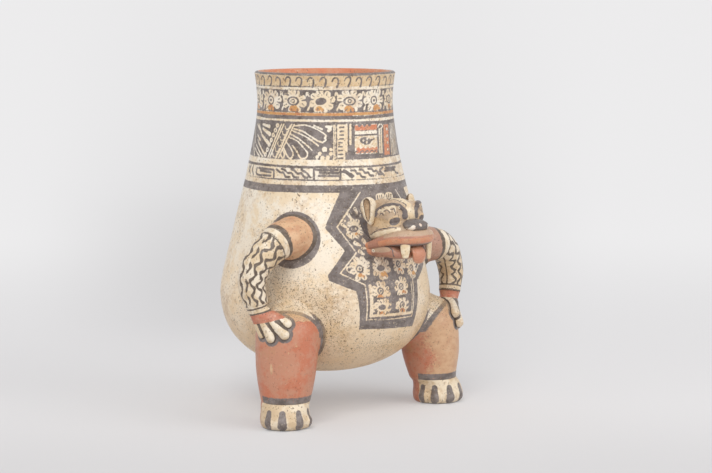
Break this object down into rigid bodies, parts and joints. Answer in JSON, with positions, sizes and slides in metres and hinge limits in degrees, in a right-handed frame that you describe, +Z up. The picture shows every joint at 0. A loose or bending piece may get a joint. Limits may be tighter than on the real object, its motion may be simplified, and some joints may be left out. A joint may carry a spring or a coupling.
{
  "type": "tripod pot",
  "caption": "Pear-shaped pottery jar with a tall collar, standing on hollow effigy legs and a tail, with a cat's head and looped arms.",
  "frame": {"origin": "on the table, under the centre of the pot's bounding box", "axes": "+Z up. The animal's head faces -Y and its left arm is on the +X side."},
  "size_m": [0.274, 0.242, 0.33],
  "materials": {
    "cream_slip": "burnished slip",
    "dark_slip": "burnished slip",
    "red_slip": "burnished slip",
    "buff_slip": "burnished slip",
    "bare_clay": "unpainted fired clay"
  },
  "bodies": {
    "pot": {"base_bowl": "cream_slip", "lower_belly_wall": "cream_slip", "upper_belly_wall": "cream_slip", "shoulder_wall": "cream_slip", "lower_collar": "cream_slip", "upper_collar": "cream_slip", "rim_lip": "red_slip", "head_shell": "buff_slip", "upper_lip": "red_slip", "nose": "dark_slip", "lower_jaw": "red_slip", "tongue": "red_slip", "right_fang": "cream_slip", "left_fang": "cream_slip", "right_ear": "cream_slip", "left_ear": "cream_slip", "right_arm": "buff_slip", "left_arm": "buff_slip", "right_hand": "cream_slip", "left_hand": "cream_slip", "right_leg": "red_slip", "left_leg": "red_slip", "right_foot": "cream_slip", "left_foot": "cream_slip", "tail_leg": "red_slip"},
    "right_pellet": {"right_leg_pellet": "bare_clay"},
    "left_pellet": {"left_leg_pellet": "bare_clay"},
    "tail_pellet_body": {"tail_pellet": "bare_clay"}
  },
  "joints": [
    {"name": "right_pellet_rattle", "type": "slide", "parent": "pot", "child": "right_pellet", "axis": [0, 0, 1], "range_m": [0, 0.064]},
    {"name": "left_pellet_rattle", "type": "slide", "parent": "pot", "child": "left_pellet", "axis": [0, 0, 1], "range_m": [0, 0.054]},
    {"name": "tail_pellet_rattle", "type": "slide", "parent": "pot", "child": "tail_pellet_body", "axis": [0, 0, 1], "range_m": [0, 0.032]}
  ]
}
